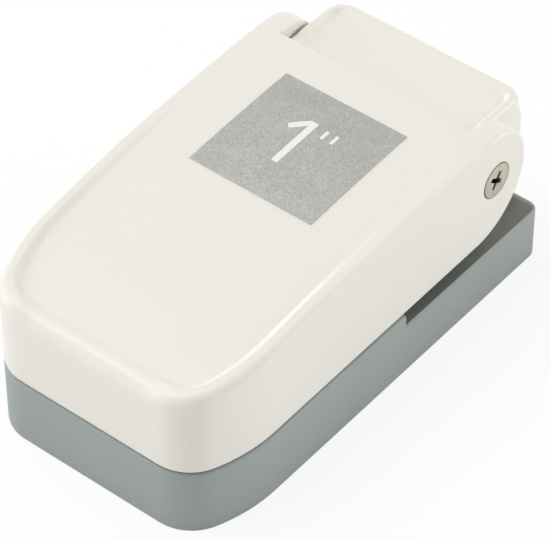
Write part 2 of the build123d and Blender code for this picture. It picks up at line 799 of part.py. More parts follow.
wing_bottom = guide_top + spring_length
wing_top = wing_bottom + wing_thickness
wing_inner = frame_half + 2 * washer_gap
wing_length = wing_rear - wing_start
wing_middle = (wing_start + wing_rear) / 2
with BuildPart() as ram_head:
    with BuildSketch(Plane.XY.offset(punch_top)):
        with Locations((0, punch_middle)):
            Rectangle(2 * ram_half, cut_side + side_gap)
    extrude(amount=ram_plate_thickness)
    # side walls and wings over the springs
    for side in (-1, 1):
        with BuildSketch(Plane.XY.offset(punch_top)):
            with Locations((side * (wing_inner + ram_half) / 2, wing_middle)):
                Rectangle(ram_half - wing_inner, wing_length)
        extrude(amount=wing_top - punch_top)
        with BuildSketch(Plane.XY.offset(wing_bottom)):
            with Locations((side * (wing_inner + wing_half) / 2, wing_middle)):
                Rectangle(wing_half - wing_inner, wing_length)
        extrude(amount=wing_thickness)
    # the pad under the roller
    with BuildSketch(Plane.XY.offset(punch_top)):
        with Locations((0, (pad_front + pad_rear) / 2)):
            Rectangle(2 * pad_half, pad_rear - pad_front)
    extrude(amount=pad_top - punch_top)
    with BuildSketch(Plane.XY.offset(punch_top)):
        with Locations(*ram_screw_places):
            Circle(small_shank + screw_gap)
    extrude(amount=ram_plate_thickness, mode=Mode.SUBTRACT)

with BuildPart() as ram_screws:
    with Locations(*[(x, y, ram_plate_top) for x, y in ram_screw_places]):
        add(pan_screw(small_shank, ram_plate_thickness + small_grip))

pieces = {
    "base_shell": base_shell,
    "bottom_cover": bottom_cover,
    "rubber_feet": rubber_feet,
    "cover_screws": cover_screws,
    "die_plate": die_plate,
    "die_screws": die_screws,
    "throat_spacer": throat_spacer,
    "guide_plate": guide_plate,
    "guide_screws": guide_screws,
    "spring_posts": spring_posts,
    "return_springs": return_springs,
    "ear_left": ear_left,
    "ear_right": ear_right,
    "ear_screws": ear_screws,
    "head_housing": head_housing,
    "housing_screws": housing_screws,
    "lever_cover": lever_cover,
    "label_plate": label_plate,
    "lever_frame": lever_frame,
    "frame_screws": frame_screws,
    "press_roller": press_roller,
    "roller_pin": roller_pin,
    "pivot_sleeve": pivot_sleeve,
    "pivot_screws": pivot_screws,
    "pivot_washers": pivot_washers,
    "punch_block": punch_block,
    "ram_head": ram_head,
    "ram_screws": ram_screws,
}

os.makedirs("parts", exist_ok=True)
for name, piece in pieces.items():
    piece.part.label = name
    export_step(piece.part, f"parts/{name}.step")
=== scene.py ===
import bmesh
import bpy
import json
from math import atan2, cos, hypot, pi, radians, sin, sqrt
from mathutils import Matrix, Vector


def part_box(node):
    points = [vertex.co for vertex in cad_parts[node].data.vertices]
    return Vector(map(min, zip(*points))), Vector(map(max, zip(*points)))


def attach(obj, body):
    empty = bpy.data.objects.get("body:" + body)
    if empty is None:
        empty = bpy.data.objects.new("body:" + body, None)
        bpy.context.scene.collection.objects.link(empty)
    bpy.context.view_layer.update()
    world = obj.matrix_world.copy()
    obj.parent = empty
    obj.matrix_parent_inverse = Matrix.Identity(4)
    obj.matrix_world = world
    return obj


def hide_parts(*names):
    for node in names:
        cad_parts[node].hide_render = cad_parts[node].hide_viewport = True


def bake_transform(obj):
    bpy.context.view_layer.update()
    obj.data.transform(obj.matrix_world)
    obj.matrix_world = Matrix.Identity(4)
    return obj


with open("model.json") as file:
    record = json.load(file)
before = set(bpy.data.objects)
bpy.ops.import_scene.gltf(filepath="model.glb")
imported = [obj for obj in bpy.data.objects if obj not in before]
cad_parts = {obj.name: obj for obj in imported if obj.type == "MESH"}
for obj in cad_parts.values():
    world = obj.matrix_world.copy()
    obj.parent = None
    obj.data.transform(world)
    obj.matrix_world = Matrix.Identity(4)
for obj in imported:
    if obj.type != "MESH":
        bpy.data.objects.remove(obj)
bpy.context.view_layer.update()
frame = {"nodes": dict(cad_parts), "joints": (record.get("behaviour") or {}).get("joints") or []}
mm = 0.001

# ---------------------------------------------------------------------------
# The table: a wide sheet of white card under the punch and a soft white room
# around it, with soft lamps above, on the left and behind on the right.
# ---------------------------------------------------------------------------
card_half = 6.0
card_colour = (0.93, 0.93, 0.93, 1)
card_lift = 0.86
card_corners = [(x * card_half, y * card_half, 0) for x, y in ((-1, -1), (1, -1), (1, 1), (-1, 1))]
card_mesh = bpy.data.meshes.new("card")
card_mesh.from_pydata(card_corners, [], [(0, 1, 2, 3)])
card = bpy.data.objects.new("card", card_mesh)
bpy.context.scene.collection.objects.link(card)
card_paper = bpy.data.materials.new("card_paper")
card_paper.use_nodes = True
card_nodes = card_paper.node_tree.nodes
card_links = card_paper.node_tree.links
card_shader = card_nodes["Principled BSDF"]
card_shader.inputs["Base Color"].default_value = card_colour
card_shader.inputs["Roughness"].default_value = 0.9
card_shader.inputs["Specular IOR Level"].default_value = 0.2
card_glow = card_nodes.new("ShaderNodeEmission")
card_ray = card_nodes.new("ShaderNodeLightPath")
card_share = card_nodes.new("ShaderNodeMath")
card_share.operation = "MULTIPLY"
card_share.inputs[1].default_value = card_lift
card_mix = card_nodes.new("ShaderNodeMixShader")
card_links.new(card_ray.outputs["Is Camera Ray"], card_share.inputs[0])
card_links.new(card_share.outputs[0], card_mix.inputs[0])
card_links.new(card_shader.outputs[0], card_mix.inputs[1])
card_links.new(card_glow.outputs[0], card_mix.inputs[2])
card_links.new(card_mix.outputs[0], card_nodes["Material Output"].inputs["Surface"])
card_mesh.materials.append(card_paper)

room_colour = (1.0, 0.995, 0.985, 1)
room_level = 0.55
room = bpy.data.worlds.new("room")
room.use_nodes = True
room_light = room.node_tree.nodes["Background"]
room_light.inputs["Color"].default_value = room_colour
room_light.inputs["Strength"].default_value = room_level
bpy.context.scene.world = room

lamp_aim = Vector((0, 0, 0.02))

# place, width and power of each lamp
lamps = {
    "lamp_above": ((-0.46, -0.33, 1.17), 0.9, 6.8),
    "lamp_left": ((-1.06, -0.66, 0.40), 0.6, 3.2),
    "lamp_low_left": ((-1.22, 0.45, 0.44), 0.5, 2.6),
    "lamp_behind": ((0.86, 0.94, 0.26), 0.6, 6.4),
}
for name, (place, size, power) in lamps.items():
    light = bpy.data.lights.new(name, "AREA")
    light.shape = "DISK"
    light.size = size
    light.energy = power
    lamp = bpy.data.objects.new(name, light)
    lamp.location = place
    lamp.rotation_euler = (Vector(place) - lamp_aim).to_track_quat("Z", "Y").to_euler()
    bpy.context.scene.collection.objects.link(lamp)

# ---------------------------------------------------------------------------
# The camera: the photograph's own angle, from the front right corner, with
# the long lens of a product shot.
# ---------------------------------------------------------------------------
view_turn = radians(38.96)
view_rise = radians(44.20)
view_right = Vector((cos(view_turn), sin(view_turn), 0))
view_level = Vector((sin(view_turn), -cos(view_turn), 0))
view_back = view_level * cos(view_rise) + Vector((0, 0, sin(view_rise)))
view_up = view_back.cross(view_right)
view_distance = 571.4 * mm
aim_right, aim_up = 1.63 * mm, 9.93 * mm
film_width = 36
focal_pixels, photo_width = 3360, 550
lens_data = bpy.data.cameras.new("photo_camera")
lens_data.sensor_width = film_width
lens_data.lens = film_width * (focal_pixels / photo_width)
lens_data.clip_start = 0.01
lens_data.clip_end = 20
camera = bpy.data.objects.new("photo_camera", lens_data)
camera.matrix_world = Matrix.Translation(
    view_right * aim_right + view_up * aim_up + view_back * view_distance
) @ Matrix((view_right, view_up, view_back)).transposed().to_4x4()
bpy.context.scene.collection.objects.link(camera)
bpy.context.scene.camera = camera
bpy.context.scene.view_settings.view_transform = "Standard"


# ---------------------------------------------------------------------------
# Base shell: one grey injection moulding with full walls in front and a lower
# paper deck behind the notch. Its outside has a fine spark-eroded grain, and
# its edges are slightly rounded by the tool.
# ---------------------------------------------------------------------------
class Wire:
    """A value inside a finish, so that sums and products of it read as plain maths."""

    def __init__(self, tree, socket=None):
        self.tree = tree
        self.socket = socket

    def make(self, kind, settings, sockets, output=0):
        """Adds a node: its settings first, then the values or links of its sockets."""
        node = self.tree.nodes.new(kind)
        for setting, value in settings.items():
            setattr(node, setting, value)
        for socket, value in sockets.items():
            if isinstance(value, Wire):
                self.tree.links.new(value.socket, node.inputs[socket])
            else:
                node.inputs[socket].default_value = value
        return Wire(self.tree, node.outputs[output])

    def maths(self, operation, *values):
        """Adds a Math node on wires and numbers."""
        return self.make("ShaderNodeMath", {"operation": operation}, dict(enumerate(values)))

    def __add__(self, other):
        return self.maths("ADD", self, other)

    def __sub__(self, other):
        return self.maths("SUBTRACT", self, other)

    def __rsub__(self, other):
        return self.maths("SUBTRACT", other, self)

    def __mul__(self, other):
        return self.maths("MULTIPLY", self, other)

    __radd__ = __add__
    __rmul__ = __mul__

    def between(self, low, high):
        """Rises smoothly from 0 to 1 while this value goes from low to high."""
        limits = {"Value": self, "From Min": low, "From Max": high}
        return self.make("ShaderNodeMapRange", {"interpolation_type": "SMOOTHSTEP"}, limits)

    def tint(self, low, high):
        """Colour that goes from low to high with this value."""
        return self.make("ShaderNodeMix", {"data_type": "RGBA"}, {0: self, 6: low, 7: high}, 2)


def noise(start, place, size, detail=2.0, stretch=None):
    """Cloudy pattern whose features are about size across."""
    if stretch:
        place = start.make("ShaderNodeMapping", {}, {"Vector": place, "Scale": stretch})
    sockets = {"Vector": place, "Scale": 1 / size, "Detail": detail}
    return start.make("ShaderNodeTexNoise", {}, sockets)


def finish(name, sockets):
    """New finish. sockets makes the shader's values from a start and the place on the piece."""
    material = bpy.data.materials.new(name)
    material.use_nodes = True
    tree = material.node_tree
    shader = tree.nodes["Principled BSDF"]
    start = Wire(tree)
    place = start.make("ShaderNodeTexCoord", {}, {}, "Object")
    for socket, value in sockets(start, place).items():
        if isinstance(value, Wire):
            tree.links.new(value.socket, shader.inputs[socket])
        else:
            shader.inputs[socket].default_value = value
    return material


def dress(node, material):
    """Gives a carried-over solid its finish."""
    mesh = frame["nodes"][node].data
    mesh.materials.clear()
    mesh.materials.append(material)


def rounded_normal(start, height, reach, strength, edge):
    """Surface relief of a given height over edges that are softened by edge."""
    soft = start.make("ShaderNodeBevel", {"samples": 6}, {"Radius": edge})
    relief = {"Height": height, "Distance": reach, "Strength": strength, "Normal": soft}
    return start.make("ShaderNodeBump", {}, relief)


deck_z = 10.5 * mm


def grey_moulding(start, place):
    clouds = noise(start, place, 14 * mm, 3)
    grain = noise(start, place, 0.22 * mm, 2)
    specks = noise(start, place, 0.8 * mm, 1).between(0.68, 0.74)
    tone = (clouds * 0.7 + grain * 0.3).tint((0.30, 0.34, 0.328, 1), (0.345, 0.385, 0.372, 1))
    tone = (specks * 0.25).tint(tone, (0.44, 0.47, 0.46, 1))
    height = start.make("ShaderNodeSeparateXYZ", {}, {"Vector": place}, 2)
    facing = start.make("ShaderNodeTexCoord", {}, {}, "Normal")
    level = start.make("ShaderNodeSeparateXYZ", {}, {"Vector": facing}, 2).between(0.9, 0.97)
    over = height.between(deck_z + 0.02 * mm, deck_z + 0.1 * mm)
    # partly painted shade: the deck's top face is painted a darker, browner grey, partly its own
    # tone and partly the shade that falls under the lever
    deck = level * height.between(deck_z - 0.06 * mm, deck_z - 0.01 * mm) * (1 - over)
    tone = (deck * 0.9).tint(tone, (0.20, 0.205, 0.18, 1))
    return {
        "Base Color": tone,
        "Roughness": 0.44 + grain * 0.16 + clouds * 0.06,
        "Normal": rounded_normal(start, grain, 0.03 * mm, 0.35, 0.3 * mm),
        "Specular IOR Level": 0.45,
    }


grey_plastic = finish("grey_plastic", grey_moulding)

# the tight corner arc lies corner_inset inside the side, and the long arc before it is larger
# by sweep_more, round a centre that is sweep_back further to the rear
corner_inset = 1.8 * mm
sweep_more = 21.925 * mm
sweep_back = 8.7 * mm


def plan_place(x, y, half, front, arc):
    """How far a point lies inside the outline that base and lever share, and its place along it.

    The place is the outline's y beside the long arc, and goes on falling by the way round the
    corner and the front.
    """
    arc_x, arc_y = half - arc - corner_inset, front + arc
    sweep = arc + sweep_more
    sweep_x, sweep_y = half - sweep, arc_y + sweep_back
    across = abs(x)
    meeting = atan2(arc_y - sweep_y, arc_x - sweep_x)
    turn = atan2(y - sweep_y, across - sweep_x)
    if turn >= 0:
        return half - across, y
    if turn >= meeting:
        return sweep - hypot(across - sweep_x, y - sweep_y), sweep_y + sweep * sin(turn)
    if across > arc_x:
        turn = atan2(y - arc_y, across - arc_x)
        return arc - hypot(across - arc_x, y - arc_y), arc_y + arc * (sin(meeting) + turn - meeting)
    return y - front, arc_y + arc * (sin(meeting) - pi / 2 - meeting) - (arc_x - across)


def copy_solid(node, joined_within=0.0005 * mm):
    """Editable copy of a carried-over solid, with its points joined."""
    shape = bmesh.new()
    shape.from_mesh(frame["nodes"][node].data)
    bmesh.ops.remove_doubles(shape, verts=shape.verts[:], dist=joined_within)
    return shape


def new_piece(name, shape, material):
    """Turns a finished shape into an object with a finish."""
    mesh = bpy.data.meshes.new(name)
    shape.to_mesh(mesh)
    shape.free()
    mesh.materials.append(material)
    piece = bpy.data.objects.new(name, mesh)
    bpy.context.scene.collection.objects.link(piece)
    return piece


def shade(piece, sharp_turn):
    """Smooth shading, with a break at edges that turn by more than so many degrees."""
    piece.data.shade_smooth()
    piece.data.set_sharp_from_angle(angle=radians(sharp_turn))


base_low, base_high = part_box("base_shell")
base_arc = 8.4 * mm
skirt_drop = 0.4 * mm
wall_top = 13.3 * mm
wall_round = 0.45 * mm
skirt_round = 0.12 * mm
rear_corner = 2.4 * mm
side_slack = 0.05 * mm
level_slack = 0.02 * mm
shell = copy_solid("base_shell")
for vert in shell.verts:
    if vert.co.z < base_low.z + level_slack / 2:
        vert.co.z -= skirt_drop
flat_within = radians(0.5)
bmesh.ops.dissolve_limit(
    shell, angle_limit=flat_within, verts=shell.verts[:], edges=shell.edges[:]
)


def on_outside(point):
    """Whether a point lies on the base's outer side."""
    if point.y < 0:
        return plan_place(point.x, point.y, base_high.x, base_low.y, base_arc)[0] < side_slack
    beside = max(abs(point.x) - base_high.x + rear_corner, 0)
    behind = max(point.y - base_high.y + rear_corner, 0)
    return hypot(beside, behind) > rear_corner - side_slack


for height, reach in ((wall_top, wall_round), (base_low.z - skirt_drop, skirt_round)):
    rim = [
        edge
        for edge in shell.edges
        if all(abs(vert.co.z - height) < level_slack and on_outside(vert.co) for vert in edge.verts)
        and len(edge.link_faces) == 2
        and edge.calc_face_angle() > radians(40)
    ]
    bmesh.ops.bevel(
        shell, geom=rim, offset=reach, segments=4, profile=0.5, affect="EDGES", clamp_overlap=True
    )
base_skin = new_piece("base_skin", shell, grey_plastic)
shade(base_skin, 32)
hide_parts("base_shell")
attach(base_skin, "base")

# ---------------------------------------------------------------------------
# Bottom cover, feet and cover screws: a flat grey moulding that closes the
# base, four rubber pads pressed into its seats, and four small nickel screws.
# ---------------------------------------------------------------------------
dress("bottom_cover", grey_plastic)


def moulded_rubber(start, place):
    dust = noise(start, place, 3 * mm, 4)
    grain = noise(start, place, 0.15 * mm, 2)
    tone = dust.between(0.45, 0.75).tint((0.022, 0.022, 0.023, 1), (0.06, 0.058, 0.055, 1))
    return {
        "Base Color": tone,
        "Roughness": 0.72 + dust * 0.15,
        "Normal": rounded_normal(start, grain, 0.04 * mm, 0.5, 0.15 * mm),
    }


foot_rubber = finish("foot_rubber", moulded_rubber)
dress("rubber_feet", foot_rubber)


def satin_nickel(start, place):
    tarnish = noise(start, place, 1.6 * mm, 4)
    turning = noise(start, place, 0.09 * mm, 2)
    tone = tarnish.between(0.35, 0.75).tint((0.62, 0.585, 0.49, 1), (0.50, 0.455, 0.34, 1))
    return {
        "Base Color": tone,
        "Metallic": 1.0,
        "Roughness": 0.26 + turning * 0.14 + tarnish * 0.08,
        "Normal": rounded_normal(start, turning, 0.01 * mm, 0.35, 0.1 * mm),
    }


nickel = finish("nickel_fastener", satin_nickel)
dress("cover_screws", nickel)


# ---------------------------------------------------------------------------
# Cutting set: a ground steel die plate, a spacer that sets the paper slot and
# a guide plate, clamped to the base by four screws.
# ---------------------------------------------------------------------------
def ground_steel(start, place):
    grind = noise(start, place, 0.5 * mm, 3, (1, 14, 14))
    oil = noise(start, place, 6 * mm, 3)
    return {
        "Base Color": (grind * 0.6 + oil * 0.4).tint((0.50, 0.50, 0.50, 1), (0.66, 0.655, 0.64, 1)),
        "Metallic": 1.0,
        "Roughness": 0.24 + grind * 0.18 + oil * 0.06,
        "Normal": rounded_normal(start, grind, 0.012 * mm, 0.4, 0.1 * mm),
    }


steel = finish("plate_steel", ground_steel)
for node in ("die_plate", "throat_spacer", "guide_plate"):
    dress(node, steel)
for node in ("die_screws", "guide_screws"):
    dress(node, nickel)

# ---------------------------------------------------------------------------
# Spring posts and return springs: four turned pins on the guide plate, and a
# coil of drawn wire round each that lifts the ram.
# ---------------------------------------------------------------------------
dress("spring_posts", steel)


def drawn_wire(start, place):
    draw = noise(start, place, 0.12 * mm, 3)
    return {
        "Base Color": draw.tint((0.42, 0.42, 0.43, 1), (0.56, 0.56, 0.57, 1)),
        "Metallic": 1.0,
        "Roughness": 0.28 + draw * 0.15,
    }


spring_steel = finish("spring_steel", drawn_wire)


def loft(sections, shape=None):
    """Closed shape through like loops of points, new or added to a shape."""
    if shape is None:
        shape = bmesh.new()
    loops = [[shape.verts.new(point) for point in section] for section in sections]
    for one, two in zip(loops, loops[1:]):
        for corner in range(len(one)):
            after = (corner + 1) % len(one)
            shape.faces.new((one[corner], one[after], two[after], two[corner]))
    shape.faces.new(loops[0])
    shape.faces.new(list(reversed(loops[-1])))
    bmesh.ops.recalc_face_normals(shape, faces=shape.faces[:])
    return shape


spring_low, spring_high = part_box("return_springs")
wire_radius = 0.225 * mm
coil_turns = 6
coil_steps = 20
wire_sides = 8
closed_share = 0.08
upward = Vector((0, 0, 1))
spring_middle = (spring_low.y + spring_high.y) / 2
spring_depths = [vert.co.y for vert in frame["nodes"]["return_springs"].data.vertices]
front_half = [y for y in spring_depths if y < spring_middle]
rear_half = [y for y in spring_depths if y > spring_middle]
coil_radius = (max(front_half) - min(front_half)) / 2 - wire_radius
coil_places = [
    (side * (spring_high.x - coil_radius - wire_radius), (min(part) + max(part)) / 2)
    for side in (-1, 1)
    for part in (front_half, rear_half)
]
coils = bmesh.new()
for middle_x, middle_y in coil_places:
    rings = []
    for step in range(coil_turns * coil_steps + 1):
        share = step / (coil_turns * coil_steps)
        turn = 2 * pi * coil_turns * share
        outward = Vector((cos(turn), sin(turn), 0))
        rise = min(max((share - closed_share) / (1 - 2 * closed_share), 0), 1)
        middle = Vector((middle_x, middle_y, spring_low.z + wire_radius)) + outward * coil_radius
        middle.z += rise * (spring_high.z - spring_low.z - 2 * wire_radius)
        ring = []
        for side in range(wire_sides):
            angle = 2 * pi * side / wire_sides
            ring.append(middle + (outward * cos(angle) + upward * sin(angle)) * wire_radius)
        rings.append(ring)
    loft(rings, coils)
return_coils = new_piece("return_coils", coils, spring_steel)
return_coils.data.shade_smooth()
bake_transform(return_coils)
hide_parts("return_springs")


# ---------------------------------------------------------------------------
# Pivot ears: folded steel angles with a yellow zinc coat that carry the axle
# sleeve, screwed to the guide plate. The tray's floor covers their top edges.
# ---------------------------------------------------------------------------
def yellow_zinc(start, place):
    bloom = noise(start, place, 2.5 * mm, 4)
    grain = noise(start, place, 0.1 * mm, 2)
    return {
        "Base Color": bloom.between(0.3, 0.7).tint((0.66, 0.50, 0.27, 1), (0.70, 0.60, 0.44, 1)),
        "Metallic": 1.0,
        "Roughness": 0.34 + grain * 0.16,
        "Normal": rounded_normal(start, grain, 0.01 * mm, 0.3, 0.1 * mm),
    }


tan_steel = finish("tan_steel", yellow_zinc)
dress("ear_left", tan_steel)
dress("ear_right", tan_steel)
dress("ear_screws", nickel)


# ---------------------------------------------------------------------------
# Head housing: a white moulding screwed to the guide plate behind the punch. Its
# top is a shallow tray with a rounded rim, open towards the lever.
# ---------------------------------------------------------------------------
def white_moulding(start, place):
    clouds = noise(start, place, 18 * mm, 3)
    flow = noise(start, place, 3.5 * mm, 2)
    grain = noise(start, place, 0.16 * mm, 2)
    specks = noise(start, place, 1.1 * mm, 1).between(0.70, 0.75)
    tone = (clouds * 0.8 + grain * 0.2).tint((0.805, 0.785, 0.72, 1), (0.845, 0.825, 0.76, 1))
    tone = (specks * 0.12).tint(tone, (0.70, 0.68, 0.61, 1))
    return {
        "Base Color": tone,
        "Roughness": 0.28 + flow * 0.08 + grain * 0.06,
        "Normal": rounded_normal(start, grain * 0.7 + flow * 0.3, 0.02 * mm, 0.18, 0.35 * mm),
        "Specular IOR Level": 0.5,
    }


white_plastic = finish("white_plastic", white_moulding)


def cut(piece, tool, operation):
    """Cuts the tool out of the piece, or joins it on, and removes the tool."""
    step = piece.modifiers.new("cut", "BOOLEAN")
    step.operation = operation
    step.solver = "MANIFOLD"
    step.object = tool
    shown = piece.evaluated_get(bpy.context.evaluated_depsgraph_get())
    result = bpy.data.meshes.new_from_object(shown)
    piece.modifiers.clear()
    piece.data = result
    bpy.data.objects.remove(tool)


def smooth(value):
    """Rises smoothly from 0 to 1 with a value between them."""
    value = min(max(value, 0), 1)
    return value * value * (3 - 2 * value)


tray_half = 19.95 * mm
tray_shift = 0.1 * mm
tray_rear = 44.87 * mm
corner_top, corner_low = 4.0 * mm, 1.4 * mm
lean_from = 29 * mm
tray_floor = 33.35 * mm
flange_low = 32.8 * mm
rim_top = 34.0 * mm
rim_fall, rim_lean = 1.2 * mm, 0.85 * mm
rim_inside = 1.15 * mm
floor_inset = 1.95 * mm
rear_slope = 1.1 * mm
rear_drop = 0.35
rim_low_share = 0.3
rim_rise_from, rim_rise = 32.9 * mm, 1.0 * mm
skirt_low = 12.65 * mm
skirt_width = 0.9 * mm
plate_gap = 15.14 * mm

# the tray's section, as insets from its side and heights: up the wall, over the rim's crest,
# down to the floor and back along the inside of the wall
wall_levels = (12.65, 20, 27, 29, 30, 30.9, 31.7, 32.4)
crest_steps = 8
inner_steps = 10
rim_profile = [(0, z * mm) for z in wall_levels]
for step in range(crest_steps + 1):
    turn = pi / 2 * step / crest_steps
    rim_profile.append((rim_lean * (1 - cos(turn)), rim_top - rim_fall * (1 - sin(turn))))
crest_row = len(rim_profile) - 1
for step in range(inner_steps + 1):
    share = step / inner_steps
    inset = rim_inside + (floor_inset - rim_inside) * share
    rim_profile.append((inset, rim_top - (rim_top - tray_floor) * smooth(share)))
floor_row = len(rim_profile) - 1
rim_profile += [(floor_inset, flange_low), (floor_inset, plate_gap)]
rim_profile += [(skirt_width, plate_gap), (skirt_width, skirt_low)]

# the section's way, as places along the side and turns round the rear corner: the flange over
# an ear, along which the rim rises, then the side wall
flange_places = (28, 30, 32, 32.9, 33.1, 33.3, 33.5, 33.7, 33.9, 35.15)
wall_places = (35.15, 37, 39)
corner_steps = 12
rim_way = [(y * mm, 0) for y in flange_places]
walled_from = len(rim_way)
rim_way += [(y * mm, 0) for y in wall_places]
rim_way += [(None, pi / 2 * step / corner_steps) for step in range(corner_steps + 1)]
tray = bmesh.new()
rim_rows = []
for side in (1, -1):
    rows = []
    for place, (along, turn) in enumerate(rim_way):
        nx, ny = cos(turn), sin(turn)
        risen = min(max(((along or tray_rear) - rim_rise_from) / rim_rise, 0), 1)
        lift = (rim_low_share + (1 - rim_low_share) * risen) * (1 - rear_drop * ny * ny)
        row = []
        for order, (inset, z) in enumerate(rim_profile):
            lean = min(max((z - lean_from) / (rim_top - lean_from), 0), 1)
            if inset > skirt_width:
                radius = corner_top
            elif order > floor_row + 1:
                radius = corner_low
            else:
                widening = lean if order <= crest_row else 1
                radius = corner_low + (corner_top - corner_low) * widening
            if crest_row < order <= floor_row + 2:
                inset += rear_slope * (inset - rim_inside) / (floor_inset - rim_inside) * ny * ny
            if along is None:
                x = tray_half - radius + (radius - inset) * nx
                y = tray_rear - radius + (radius - inset) * ny
            else:
                x, y = tray_half - inset, along
            if z > tray_floor:
                z = tray_floor + (z - tray_floor) * lift
            if place < walled_from:
                z = max(z, flange_low)
            row.append(tray.verts.new((tray_shift + side * x, y, z)))
        rows.append(row)
    rim_rows += rows if side > 0 else reversed(rows)
for one, two in zip(rim_rows, rim_rows[1:]):
    for row in range(len(rim_profile)):
        after = (row + 1) % len(rim_profile)
        if row != floor_row:
            tray.faces.new((one[row], one[after], two[after], two[row]))
tray.faces.new(rim_rows[0])
tray.faces.new(list(reversed(rim_rows[-1])))
for row in (floor_row, floor_row + 1):
    tray.faces.new([rim_row[row] for rim_row in rim_rows])
right_end = rim_rows[0][floor_row : floor_row + 2]
left_end = rim_rows[-1][floor_row : floor_row + 2]
tray.faces.new((*right_end, *reversed(left_end)))
tray_weld = 0.002 * mm
bmesh.ops.remove_doubles(tray, verts=tray.verts[:], dist=tray_weld)
bmesh.ops.dissolve_degenerate(tray, edges=tray.edges[:], dist=tray_weld)
bmesh.ops.recalc_face_normals(tray, faces=tray.faces[:])
head_tray = new_piece("head_tray", tray, white_plastic)

# the rest of the solid is joined to the tray, its own top cut off inside the new floor
solid_floor = (32.7 * mm, 32.8 * mm)
raised_floor = flange_low + 0.2 * mm
cut_height = flange_low + 0.3 * mm
body = copy_solid("head_housing")
for vert in body.verts:
    if solid_floor[0] < vert.co.z < solid_floor[1]:
        vert.co.z = raised_floor
cut_parts = bmesh.ops.bisect_plane(
    body,
    geom=body.verts[:] + body.edges[:] + body.faces[:],
    plane_co=(0, 0, cut_height),
    plane_no=(0, 0, 1),
    clear_outer=True,
)["geom_cut"]
open_edges = [part for part in cut_parts if isinstance(part, bmesh.types.BMEdge)]
bmesh.ops.contextual_create(body, geom=open_edges)
bmesh.ops.recalc_face_normals(body, faces=body.faces[:])
cut(head_tray, new_piece("head_body", body, white_plastic), "UNION")
shade(head_tray, 35)
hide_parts("head_housing")
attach(head_tray, "base")
dress("housing_screws", nickel)

# ---------------------------------------------------------------------------
# Lever cover: one white moulding that the hand presses. A shallow thumb dish
# is sunk into its crown, open over the nose, and two rounded fingers at the
# rear take the pivot. The underside is hollow, with two bosses for the frame.
# ---------------------------------------------------------------------------
lever_low, lever_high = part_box("lever_cover")
arc_front = lever_low.y
tail = lever_high.y
floor_z = lever_low.z
crown_z = lever_high.z
lever_half = 24.62 * mm
nose = -44.85 * mm
finger = 4.42 * mm
slot_half = lever_half - finger
hump_rear = tail - 9.6 * mm
crown_fall = 4.9 * mm
nose_fall = 1.3 * mm
nose_fall_start = -4 * mm
dish_drop = 1.2 * mm
dish_slope = 1.35 * mm
nose_rim = 0.3
nose_rim_half, nose_rim_reach = 11 * mm, 6 * mm
slot_round = 0.35 * mm
base_round = 0.3 * mm
finger_round = 8.0 * mm
cheek_round = 12.5 * mm
edge_lift = 0.25 * mm
edge_tilt = 0.010
tight_arc = 8.35 * mm
long_arc = tight_arc + sweep_more
tight_x = lever_half - tight_arc - corner_inset
tight_y = nose + tight_arc
long_x = lever_half - long_arc
long_y = tight_y + sweep_back
corner_turn = atan2(tight_y - long_y, tight_x - long_x)
arc_lead = arc_front - 2 * mm

# place along the outline and the rounding of the outer edge there, in mm
outline_marks = (
    (40, 0.45),
    (-8, 0.45),
    (-12, 0.6),
    (-16, 0.72),
    (-22, 0.9),
    (-28, 1.1),
    (-35.5, 1.3),
    (-39.8, 1.4),
    (-43, 1.5),
    (-46, 1.65),
    (-49.5, 1.85),
    (-56, 2.0),
    (-70, 2.0),
)


def edge_rounding(way):
    """Rounding of the outer edge at a place along the outline, on a smooth curve."""
    spot = min(max(way / mm, outline_marks[-1][0]), outline_marks[0][0])
    last = len(outline_marks) - 1
    left = next(index for index in range(last) if spot >= outline_marks[index + 1][0])
    (start, a), (end, b) = outline_marks[left], outline_marks[left + 1]
    slopes = [0, 0]
    if left:
        for order, index in enumerate((left, left + 1)):
            before, after = outline_marks[index - 1], outline_marks[min(index + 1, last)]
            slopes[order] = (after[1] - before[1]) / (after[0] - before[0]) * (end - start)
    t = (spot - start) / (end - start)
    level = a * (2 * t**3 - 3 * t**2 + 1) + b * (3 * t**2 - 2 * t**3)
    return (level + slopes[0] * (t**3 - 2 * t**2 + t) + slopes[1] * (t**3 - t**2)) * mm


# half outline of the thumb dish: a side that leans in ahead of side_y, a long arc ahead of
# bow_from, a corner arc and a front line
side_x, side_y, side_lean = 22.2 * mm, -8 * mm, 0.016
bow_from, bow_radius = -27 * mm, 30 * mm
bow_x = side_x + side_lean * (bow_from - side_y) - bow_radius
bow_y = bow_from + side_lean * bow_radius
dish_front = -41.5 * mm
corner_radius = 5.0 * mm
corner_y = dish_front + corner_radius
corner_x = bow_x + sqrt((bow_radius - corner_radius) ** 2 - (corner_y - bow_y) ** 2)
corner_lead = (corner_y - bow_y) / (corner_x - bow_x)


def dish_depth(x, y):
    """Distance inside the outline of the thumb dish."""
    x = abs(x)
    if x > corner_x and y - corner_y < corner_lead * (x - corner_x):
        return corner_radius - hypot(x - corner_x, y - corner_y)
    if y < bow_from:
        side = bow_radius - hypot(x - bow_x, y - bow_y)
    else:
        side = side_x + side_lean * min(y - side_y, 0) - x
    return min(side, y - dish_front)


